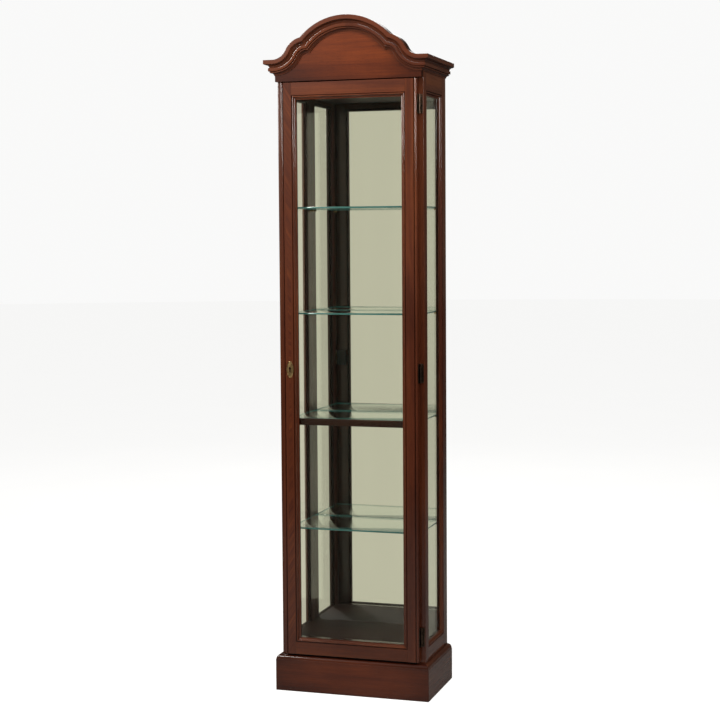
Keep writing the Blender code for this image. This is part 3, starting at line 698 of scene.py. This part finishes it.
def member(node, edge, across, inward, board, corners=(0.0, 0.0), body="case"):
    """Rebuilds one frame member. across and inward are signed axes: from the member's outer edge to
    the glass, and from its show face to its back. Its length lies along the third axis."""
    low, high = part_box(node)
    along = ({"X", "Y", "Z"} - {across[1], inward[1]}).pop()

    def start(axis):
        index = "XYZ".index(axis[1])
        return low[index] if axis[0] == "+" else high[index]

    def size(letter):
        return (high - low)["XYZ".index(letter)]

    def signed(axis):
        return AXES[axis[1]] * (1 if axis[0] == "+" else -1)

    origin = (
        AXES[across[1]] * start(across)
        + AXES[inward[1]] * start(inward)
        + AXES[along] * low["XYZ".index(along)]
    )
    u_way, d_way, s_way = signed(across), signed(inward), AXES[along]
    width, thick = size(across[1]) - STICK, size(inward[1])
    mould = Mould(board)
    add_member(
        mould, edge(width, thick), width, thick, size(along), corners,
        lambda u, d, s: origin + u_way * u + d_way * d + s_way * s)
    return piece(mould, f"{node}_moulded", CHERRY, body, [node])


def rail_corners(stile, low_rail, top_rail):
    """How far the rails' bodies reach up and down beside a stile."""
    low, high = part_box(stile)
    reach_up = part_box(low_rail)[1].z - STICK + GAP
    reach_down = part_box(top_rail)[0].z + STICK - GAP
    return reach_up - low.z, high.z - reach_down


def glazing_stop(name, body, pane, inward, thick_end):
    """A mitred quarter-round bead in the rebate behind a pane. inward is the signed axis into the
    case, and thick_end is where the frame's back is along it."""
    low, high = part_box(pane)
    letter = inward[1]
    plane = "XZ" if letter == "Y" else "YZ"
    first, second = ("XYZ".index(c) for c in plane)
    depth = "XYZ".index(letter)
    back = high[depth] + GAP if inward[0] == "+" else low[depth] - GAP
    way = 1 if inward[0] == "+" else -1
    tall = abs(thick_end - back) - GAP
    wide = STICK - REBATE - 0.0012  # a little short of the lip
    curve = 0.0045  # radius of the quarter round
    section = [(0.0, 0.0), (wide, 0.0), (wide, tall - curve)]
    section += arc(wide - curve, tall - curve, curve, 0, 90, 8)[1:]
    section += [(0.0, tall)]
    corners = [
        (low[first], low[second], 1, 1), (high[first], low[second], -1, 1),
        (high[first], high[second], -1, -1), (low[first], high[second], 1, -1),
    ]

    def putter(a0, b0, da, db):
        def put(u, d):
            point = Vector((0, 0, 0))
            point[first] = a0 + da * u
            point[second] = b0 + db * u
            point[depth] = back + way * d
            return point
        return put

    mould = Mould(31)
    stations = [(k * 0.7, putter(*corner)) for k, corner in enumerate(corners)]
    mould.sweep(section, stations, closed=True)
    return piece(mould, name, DARK_TRIM, body)


def glazed_frames():
    for side, inward, board in (("left", "+X", 1), ("right", "-X", 5)):
        front, rear, bottom, top = (
            f"{side}_{part}" for part in ("front_stile", "rear_stile", "bottom_rail", "top_rail"))
        reach = rail_corners(front, bottom, top)
        member(front, plain_edge, "+Y", inward, board, reach)
        member(rear, rebated_edge, "-Y", inward, board + 1, reach)
        member(bottom, plain_edge, "+Z", inward, board + 2)
        member(top, plain_edge, "-Z", inward, board + 3)
        end = -CASE_INNER if side == "left" else CASE_INNER
        glazing_stop(f"{side}_glazing_stop", "case", f"{side}_side_glass", inward, end)
    reach = rail_corners("door_left_stile", "door_bottom_rail", "door_top_rail")
    member("door_left_stile", beaded_edge, "+X", "+Y", 9, reach, "door")
    member("door_right_stile", beaded_edge, "-X", "+Y", 10, reach, "door")
    member("door_bottom_rail", plain_edge, "+Z", "+Y", 11, body="door")
    member("door_top_rail", plain_edge, "-Z", "+Y", 12, body="door")
    glazing_stop("door_glazing_stop", "door", "door_glass", "+Y", DOOR_BACK)


# ------------------------------------------------------ bonnet and cornices


def cornice_section():
    """Section in (out, down): fascia, cove, rounded second fascia, bead, and a small cove to the
    board."""
    reach = CORNICE_REACH - GAP / 2

    def cove(out, down, wide, tall):
        turns = (math.radians(10 * k) for k in range(10))
        return [(out + wide * (1 - math.sin(a)), down + tall * (1 - math.cos(a))) for a in turns]

    return [
        (GAP, 0.0),
        *arc(reach - EASE, EASE, EASE, 270, 360, 4),
        (reach, FASCIA - 0.0005),
        (reach - 0.0005, FASCIA),
        (0.0252, FASCIA),
        (0.0248, 0.0134),
        *cove(0.0130, 0.0138, 0.0108, 0.0082),
        *arc(0.0130, 0.0252, 0.0030, 270, 360, 8),
        (0.0160, 0.0318),
        *arc(0.0152, 0.0318, 0.0008, 0, 90, 3)[1:],
        (0.0098, 0.0326),
        *arc(0.0098, 0.0352, 0.0024, 270, 360, 7),
        (0.0122, 0.0366),
        *cove(0.0020, 0.0372, 0.0096, 0.0068),
        (0.0020, CORNICE_TALL),
        (GAP, CORNICE_TALL),
    ]


def arc_points(centre, radius, start, end, steps):
    """Points on an arc, without the first one."""
    angles = [start + (end - start) * k / steps for k in range(1, steps + 1)]
    return [(centre[0] + radius * math.cos(a), centre[1] + radius * math.sin(a)) for a in angles]


def half_outline(down=0.0):
    """The right half of the bonnet's top edge moved down into the board, from the crown to the
    corner: arch, shoulder, hollow, flat. Every depth has the same number of points."""
    crown = HEIGHT - ARCH_RADIUS
    half_angle = math.asin(ARCH_HALF / ARCH_RADIUS)
    shoulder = (
        ARCH_HALF - SHOULDER_RADIUS * math.cos(SHOULDER_START),
        crown + ARCH_RADIUS * math.cos(half_angle) - SHOULDER_RADIUS * math.sin(SHOULDER_START),
    )
    slope = math.sin(SHOULDER_END)
    hollow_radius = (shoulder[1] + SHOULDER_RADIUS * slope - CORNICE_TOP) / (1 - slope)
    reach = SHOULDER_RADIUS + hollow_radius
    hollow = (shoulder[0] + reach * math.cos(SHOULDER_END), shoulder[1] + reach * slope)
    arch_radius, shoulder_radius = ARCH_RADIUS - down, SHOULDER_RADIUS - down
    apart = math.hypot(shoulder[0], shoulder[1] - crown)
    turn = math.acos((arch_radius**2 + apart**2 - shoulder_radius**2) / (2 * arch_radius * apart))
    cusp = math.atan2(shoulder[1] - crown, shoulder[0]) + turn
    start = math.atan2(
        crown + arch_radius * math.sin(cusp) - shoulder[1],
        arch_radius * math.cos(cusp) - shoulder[0])
    hollow_start, hollow_angle = math.pi + SHOULDER_END, math.pi / 2 - SHOULDER_END
    # Each arc: centre, radius, first and last angle, and the angle that sets its number of points
    arcs = (
        ((0.0, crown), arch_radius, math.pi / 2, cusp, half_angle),
        (shoulder, shoulder_radius, start, SHOULDER_END, SHOULDER_START - SHOULDER_END),
        (hollow, hollow_radius + down, hollow_start, 1.5 * math.pi, hollow_angle),
    )
    half = [(0.0, HEIGHT - down)]
    for centre, radius, first, last, angle in arcs:
        half += arc_points(centre, radius, first, last, round(angle / ARC_STEP))
    half.append((CASE_HALF, CORNICE_TOP - down))
    return half


def bonnet():
    """The arched frieze board, its moulding in two halves, and the side cornices."""
    half = half_outline()
    whole = [(-x, z) for x, z in reversed(half)] + half[1:]
    outline = [(CASE_HALF, FRIEZE_LOW), (-CASE_HALF, FRIEZE_LOW), *whole]
    board = Mould(14)
    near = [board.vertex((x, FACE_Y, z), (x, z, 0.0)) for x, z in outline]
    far = [board.vertex((x, FRONT_Y - GAP, z), (x, z, 0.02)) for x, z in outline]
    # Every edge but the bottom one takes the dark second material: painted shade on the board's top
    # edge
    board.loft([near, far], dark_sides=range(1, len(near)))
    piece(board, "frieze_panel", (CHERRY_PANEL, DARK_WOOD), "case", ["frieze_board"])

    section = cornice_section()
    depths = sorted({down for out, down in with_crevice_shade(section)[0]})
    paths = {down: half_outline(down) for down in depths}
    for side, name, number in ((-1, "arch_moulding_left", 15), (1, "arch_moulding_right", 17)):
        stations, along = [], 0.0
        for index, point in enumerate(half):
            if index:
                along += (Vector(point) - Vector(half[index - 1])).length
            joint = GAP / 4 if index == 0 else 0.0
            corner = 1.0 if index == len(half) - 1 else 0.0

            def put(out, down, index=index, joint=joint, corner=corner):
                x, z = paths[down][index]
                across = x + joint + corner * (out - GAP / 2)
                return Vector((side * across, FACE_Y - out, z))

            stations.append((along, put))
        mould = Mould(number)
        # The top face, the section's first side, takes the dark second material: painted shade on
        # the upward face
        mould.sweep(section, stations, dark_sides=(0,))
        piece(mould, name, (CHERRY, DARK_TRIM), "case", ["arch_moulding"], 20)
    for side, name, number in ((-1, "cornice_left", 18), (1, "cornice_right", 19)):

        def place(run, mitre, side=side):
            def put(out, down):
                y = FACE_Y - out + GAP if mitre else run
                return Vector((side * (CASE_HALF + out + GAP / 2), y, CORNICE_TOP - down))
            return put

        mould = Mould(number)
        mould.sweep(section, [(0.0, place(FACE_Y, True)), (BACK_Y - FACE_Y, place(BACK_Y, False))])
        piece(mould, f"{name}_moulded", CHERRY, "case", [name], 28)


def plinth():
    """Front and side boards with an ovolo top edge, mitred at the corners."""
    notch = BASE_FRONT - BASE_SIDE

    def section(reach):
        ovolo_out = reach - FILLET - OVOLO
        return [
            (GAP, 0.0),
            (GAP, BASE_TOP),
            (ovolo_out - 0.0002, BASE_TOP),
            *arc(ovolo_out, BASE_TOP - 0.001 - OVOLO, OVOLO, 90, 0, 14),
            (reach - 0.0004, BASE_TOP - 0.0145),
            (reach, BASE_TOP - 0.0149),
            (reach, 0.0006),
            (reach - 0.0006, 0.0),
        ]

    front = section(BASE_FRONT)
    front.insert(2, (notch, BASE_TOP))
    front.append((notch, 0.0))

    def end(side):
        def put(out, z):
            return Vector((side * (CASE_HALF + max(out - notch, 0.0) - GAP / 2), FRONT_Y - out, z))
        return put

    mould = Mould(21)
    mould.sweep(front, [(0.0, end(-1)), (2 * CASE_HALF, end(1))])
    piece(mould, "base_front_moulded", CHERRY_PANEL, "case", ["base_front"])
    for side, name, number in ((-1, "base_left", 22), (1, "base_right", 24)):

        def place(y, mitre, side=side):
            def put(out, z):
                at = FRONT_Y - notch - out + GAP if mitre else y
                return Vector((side * (CASE_HALF + out + GAP / 2), at, z))
            return put

        mould = Mould(number)
        stations = [(0.0, place(0, True)), (BACK_Y - FRONT_Y, place(BACK_Y, False))]
        mould.sweep(section(BASE_SIDE), stations)
        piece(mould, f"{name}_moulded", CHERRY, "case", [name])


# ------------------------------------------------------------------- shelves


def shelves():
    """Four glass shelves with polished green edges, and the wooden rail before the middle one."""
    for name in ("lower", "middle", "upper", "top"):
        low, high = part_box(f"{name}_glass_shelf")
        mould = Mould()
        mould.slab(low, high, 0.0008)
        for face in mould.shape.faces:
            face.normal_update()
            face.material_index = 0 if abs(face.normal.z) > 0.9 else 1
        piece(
            mould, f"{name}_shelf_polished", (SHELF_TOP, SHELF_EDGE), f"{name}_shelf",
            [f"{name}_glass_shelf"])
    low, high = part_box("middle_shelf_rail")
    seat_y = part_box("middle_glass_shelf")[0].y - GAP
    seat_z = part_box("middle_glass_shelf")[0].z - GAP
    section = [
        (high.y, low.z), (high.y, seat_z), (seat_y, seat_z), (seat_y, high.z),
        *arc(low.y + 0.004, high.z - 0.004, 0.004, 90, 180, 8),
        *arc(low.y + 0.002, low.z + 0.002, 0.002, 180, 270, 4),
    ]
    mould = Mould(26)
    mould.sweep(section, [
        (x - low.x, lambda y, z, x=x: Vector((x, y, z))) for x in (low.x, high.x)])
    piece(mould, "middle_shelf_rail_moulded", DARK_TRIM, "case", ["middle_shelf_rail"])


def pegs():
    """Turned brass shelf pegs with a collar against the stile and a rounded tip."""
    for node in sorted(n for n in frame["nodes"] if "_shelf_peg_" in n):
        low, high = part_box(node)
        side = 1 if low.x > 0 else -1
        radius = (high.z - low.z) / 2
        outer = high.x if side > 0 else low.x
        length = high.x - low.x
        collar = abs(outer) - CASE_INNER
        profile = [
            (radius, 0.0),
            (radius, collar + 0.0002),
            (radius + 0.0014, collar + 0.0002),
            (radius + 0.0014, collar + 0.0007),
            (radius + 0.0010, collar + 0.0011),
            (radius, collar + 0.0011),
            (radius, length - 0.0012),
            (radius - 0.0004, length - 0.0004),
            (radius - 0.0012, length),
            (0.0, length),
        ]
        mould = Mould()
        centre = (low + high) / 2
        mould.turned(profile, (outer, centre.y, centre.z), (-side, 0, 0), 20)
        piece(mould, f"{node}_turned", BRASS, "case", [node])


# ---------------------------------------------------------- hinges and lock


def screw_heads(mould, places, axis):
    """Oval countersunk heads that stand a little out of the leaf."""
    rise = [math.radians(angle) for angle in (25, 50, 75)]
    profile = [(SCREW, -0.0004), (SCREW, 0.0001)]
    profile += [(SCREW * math.cos(a), 0.0001 + 0.0005 * math.sin(a)) for a in rise]
    profile.append((0.0, 0.0006))
    for place in places:
        mould.turned(profile, place, axis, 20)


def slots(places, axis):
    """The driver slots of those heads, as cutting boxes, each at another angle."""
    half_long, half_wide = 1.2 * SCREW, 0.00028
    mould = Mould()
    for number, place in enumerate(places):
        turn = Matrix.Rotation(0.5 + 1.1 * number, 3, Vector(axis))
        basis = Vector(axis).to_track_quat("Z", "Y").to_matrix()
        corners = []
        for z in (0.00025, 0.002):
            for x, y in ((-1, -1), (1, -1), (1, 1), (-1, 1)):
                local = basis @ Vector((x * half_long, y * half_wide, z))
                corners.append(mould.vertex(Vector(place) + turn @ local))
        mould.loft([corners[:4], corners[4:]])
    return mould


def hinges():
    """Three butt hinges: the case leaf has the end and middle knuckles, the door leaf the rest."""
    pivot = Vector(next(j for j in frame["joints"] if j["name"] == "door_hinge")["pos_m"])
    pin_cap, clearance, chamfer = 0.0008, 0.00015, 0.0003
    for level in ("bottom", "middle", "top"):
        low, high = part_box(f"{level}_hinge_case_leaf")
        step = (high.z - low.z) / KNUCKLES
        leaf_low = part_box(f"{level}_hinge_door_leaf")[0]
        case, door = Mould(), Mould()
        case.slab(
            (pivot.x + BARREL * 0.6, high.y - LEAF, low.z),
            (pivot.x + BARREL + LEAF_REACH, high.y, high.z), 0.0004)
        door.slab(
            (leaf_low.x, leaf_low.y, low.z),
            (leaf_low.x + LEAF, pivot.y - BARREL * 0.6, high.z), 0.0004)
        for index in range(KNUCKLES):
            base = low.z + index * step + clearance
            top = step - 2 * clearance
            profile = [
                (BARREL - chamfer, 0.0), (BARREL, chamfer),
                (BARREL, top - chamfer), (BARREL - chamfer, top),
            ]
            cap = [(BARREL * 0.72, 0.0), (BARREL * 0.55, pin_cap * 0.6), (0.0, pin_cap)]
            if index == 0:
                profile = [(r, -h) for r, h in reversed(cap)] + profile
            if index == KNUCKLES - 1:
                profile += [(r, top + h) for r, h in cap]
            mould = case if index % 2 == 0 else door
            mould.turned(profile, (pivot.x, pivot.y, base), (0, 0, 1), 28)
        middle = pivot.x + BARREL + LEAF_REACH / 2
        levels = [low.z + share * (high.z - low.z) for share in (0.14, 0.5, 0.86)]
        places = [(middle, high.y - LEAF, z) for z in levels]
        screw_heads(case, places, (0, -1, 0))
        names = [f"{level}_hinge_{owner}_leaf" for owner in ("case", "door")]
        leaf = piece(case, f"{names[0]}_fine", BRONZE, "case", names[:1])
        cut(leaf, slots(places, (0, -1, 0)))
        piece(door, f"{names[1]}_fine", BRONZE, "door", names[1:])


def keyhole_outline(x, z):
    """A round eye over a flared slot."""
    eye = arc(x, z + 0.003, 0.0036, -52, 232, 20)
    return eye + [(x - 0.0022, z - 0.009), (x + 0.0022, z - 0.009)]


def lock():
    """The oval escutcheon with its raised rim and pins, and the cuts for the key and the bolt."""
    low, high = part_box("lock_escutcheon")
    centre = (low + high) / 2
    wide, tall, thick = (high.x - low.x) / 2, (high.z - low.z) / 2, high.y - low.y
    # Each ring of the plate: how far in from its edge, and which share of its thickness it rises
    levels = [
        (0.0, 0.0), (0.0, 0.55), (0.0003, 0.85), (0.0009, 1.0), (0.0016, 0.95), (0.0021, 0.62),
        (0.0026, 0.55), (0.0040, 0.62), (0.0065, 0.74),
    ]
    sides = 56
    mould = Mould()
    rings = [
        [
            mould.vertex((
                centre.x + (wide - inset) * math.cos(a), high.y - rise * thick,
                centre.z + (tall - inset) * math.sin(a)))
            for a in (2 * math.pi * k / sides for k in range(sides))
        ]
        for inset, rise in levels
    ]
    mould.loft(rings)
    for way in (-1, 1):
        mould.turned(
            [(0.0013, -0.0008), (0.0013, 0.0001), (0.0010, 0.0005), (0.0, 0.0007)],
            (centre.x, high.y - 0.62 * thick, centre.z + way * (tall - 0.0062)), (0, -1, 0), 16)
    plate = piece(mould, "escutcheon_plate", BRASS, "door", ["lock_escutcheon"], 40)
    for target, start, end in (
        (plate, low.y - 0.004, high.y + 0.004),
        (bpy.data.objects["door_left_stile_moulded"], FACE_Y - 0.004, FACE_Y + 0.016),
    ):
        tool = Mould()
        outline = keyhole_outline(centre.x, centre.z)
        tool.loft([[tool.vertex((x, y, z)) for x, z in outline] for y in (start, end)])
        cut(target, tool)
    bolt_low, bolt_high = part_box("lock_bolt")
    mortise, deep, room = Mould(), 0.008, 0.001
    mortise.slab(
        (-CASE_INNER - deep, bolt_low.y - room, bolt_low.z - room),
        (-CASE_INNER + 0.002, bolt_high.y + room, bolt_high.z + room))
    cut(bpy.data.objects["left_front_stile_moulded"], mortise)


def back_screws():
    """Small round-headed screws that hold the back board."""
    low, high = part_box("back_board")
    end, side = 0.03, 0.006
    rows = [low.z + end + (high.z - low.z - 2 * end) * k / 8 for k in range(9)]
    places = [(x, high.y, z) for z in rows for x in (low.x + side, high.x - side)]
    places += [(x, high.y, z) for z in (rows[0], rows[-1]) for x in (-0.1, 0.0, 0.1)]
    mould = Mould()
    profile = [
        (0.0028, -0.0005), (0.0028, 0.0002), (0.0024, 0.0009), (0.0014, 0.0013), (0.0, 0.0014)]
    for place in places:
        mould.turned(profile, place, (0, 1, 0), 16)
    piece(mould, "back_board_screws", STEEL, "case")


def mirror_face():
    """The glass of the mirror, in front of its silvering."""
    low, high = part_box("back_mirror")
    mould = Mould()
    wide = CASE_INNER - GAP
    mould.slab((-wide, low.y - 2 * GAP, low.z + GAP), (wide, low.y - GAP, high.z - GAP))
    piece(mould, "mirror_front_glass", MIRROR_FACE, "case")


def packed_nodes():
    """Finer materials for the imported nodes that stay."""
    finishes = {
        "left_side_glass": GLASS, "right_side_glass": GLASS, "door_glass": GLASS,
        "back_mirror": MIRROR, "back_board": PLYWOOD, "base_back": DARK_WOOD,
        "front_top_rail": CHERRY_X, "front_bottom_rail": CHERRY_X,
        "floor_panel": DARK_WOOD, "ceiling_panel": DARK_WOOD, "roof_panel": DARK_WOOD,
        "lock_case": LOCK_STEEL, "lock_bolt": BRASS, "lock_strike": BRASS,
    }
    for name, finish in finishes.items():
        node = frame["nodes"][name]
        for slot in node.material_slots:
            slot.material = finish


# ------------------------------------------------------------------- stage


def stage():
    """A pale floor under a white surround, soft lights and the camera."""
    shape = bmesh.new()
    bmesh.ops.create_circle(shape, cap_ends=True, radius=30.0, segments=64)
    mesh = bpy.data.meshes.new("floor")
    shape.to_mesh(mesh)
    shape.free()
    floor = bpy.data.objects.new("floor", mesh)
    bpy.context.scene.collection.objects.link(floor)
    made, tree, shader = new_material("pale_floor")
    tone = noise(tree, object_place(tree), (2.0, 2.0, 2.0), 3.0)
    join(tree, ramp(tree, tone, [(0.3, (0.17, 0.165, 0.155)), (0.7, (0.20, 0.195, 0.185))]),
         shader.inputs["Base Color"])
    set_inputs(shader, Roughness=0.8)
    ray = tree.nodes.new("ShaderNodeLightPath")
    to_camera = ray.outputs["Is Camera Ray"]
    lift = tree.nodes.new("ShaderNodeAddShader")
    join(tree, shining(tree, "ShaderNodeEmission", (0.96, 0.96, 0.955), 0.94), lift.inputs[0])
    join(tree, shader.outputs[0], lift.inputs[1])
    outside = mix_shader(tree, to_camera, shader.outputs[0], lift.outputs[0])
    sharp = math_node(tree, "MAXIMUM", to_camera, ray.outputs["Is Glossy Ray"])
    inside = math_node(tree, "MULTIPLY", behind_glass(tree, ray), sharp)
    room = shining(tree, "ShaderNodeEmission", ROOM, ROOM_LIGHT)
    pale = mix_shader(tree, inside, outside, room)
    join(tree, pale, tree.nodes["Material Output"].inputs["Surface"])
    mesh.materials.append(made)
    floor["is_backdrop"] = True

    world = bpy.data.worlds.new("studio")
    bpy.context.scene.world = world
    world.use_nodes = True
    tree = world.node_tree
    tree.nodes.clear()
    ray = tree.nodes.new("ShaderNodeLightPath")
    # Direct rays see white, rays through a pane the room, gloss a dim room, the rest soft light
    white, room, behind, front, lit = (
        shining(tree, "ShaderNodeBackground", colour, strength) for colour, strength in (
            ((1.0, 1.0, 0.995), 0.95), (ROOM, ROOM_LIGHT), (ROOM, ROOM_BEHIND),
            (ROOM, ROOM_IN_FRONT), ((1.0, 0.98, 0.95), 0.09)))
    way = tree.nodes.new("ShaderNodeSeparateXYZ")
    join(tree, tree.nodes.new("ShaderNodeTexCoord").outputs["Generated"], way.inputs[0])
    to_front = spread(tree, way.outputs["Y"], 0.15, -0.15, 0.0, 1.0)
    through = behind_glass(tree, ray)
    direct = mix_shader(tree, through, white, room)
    dim = mix_shader(tree, to_front, behind, front)
    shine = mix_shader(tree, through, dim, room)
    others = mix_shader(tree, ray.outputs["Is Glossy Ray"], lit, shine)
    seen = mix_shader(tree, ray.outputs["Is Camera Ray"], others, direct)
    out = tree.nodes.new("ShaderNodeOutputWorld")
    join(tree, seen, out.inputs["Surface"])

    for name, (place, target, size, energy, colour) in LAMPS.items():
        data = bpy.data.lights.new(name, "AREA")
        data.shape = "RECTANGLE"
        data.size, data.size_y = size
        data.energy = energy
        data.color = colour
        made = bpy.data.objects.new(name, data)
        made.location = place
        made.rotation_euler = (Vector(target) - Vector(place)).to_track_quat("-Z", "Y").to_euler()
        bpy.context.scene.collection.objects.link(made)

    camera = bpy.data.cameras.new("camera")
    camera.lens = LENS
    camera.shift_y = LENS_SHIFT
    seat = bpy.data.objects.new("camera", camera)
    seat.matrix_world = (
        Matrix.Translation(CAMERA_PLACE)
        @ Matrix.Rotation(YAW, 4, "Z")
        @ Matrix.Rotation(math.pi / 2 - TILT, 4, "X")
        @ Matrix.Rotation(ROLL, 4, "Z")
    )
    bpy.context.scene.collection.objects.link(seat)
    bpy.context.scene.camera = seat
    bpy.context.scene.view_settings.view_transform = "Standard"
    bpy.context.scene.cycles.transparent_max_bounces = 32


packed_nodes()
glazed_frames()
bonnet()
plinth()
shelves()
pegs()
hinges()
lock()
back_screws()
mirror_face()
stage()

boxes = {"cad": CAD_BOX, "visual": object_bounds()}
{name: [list(corner) for corner in box] for name, box in boxes.items()}
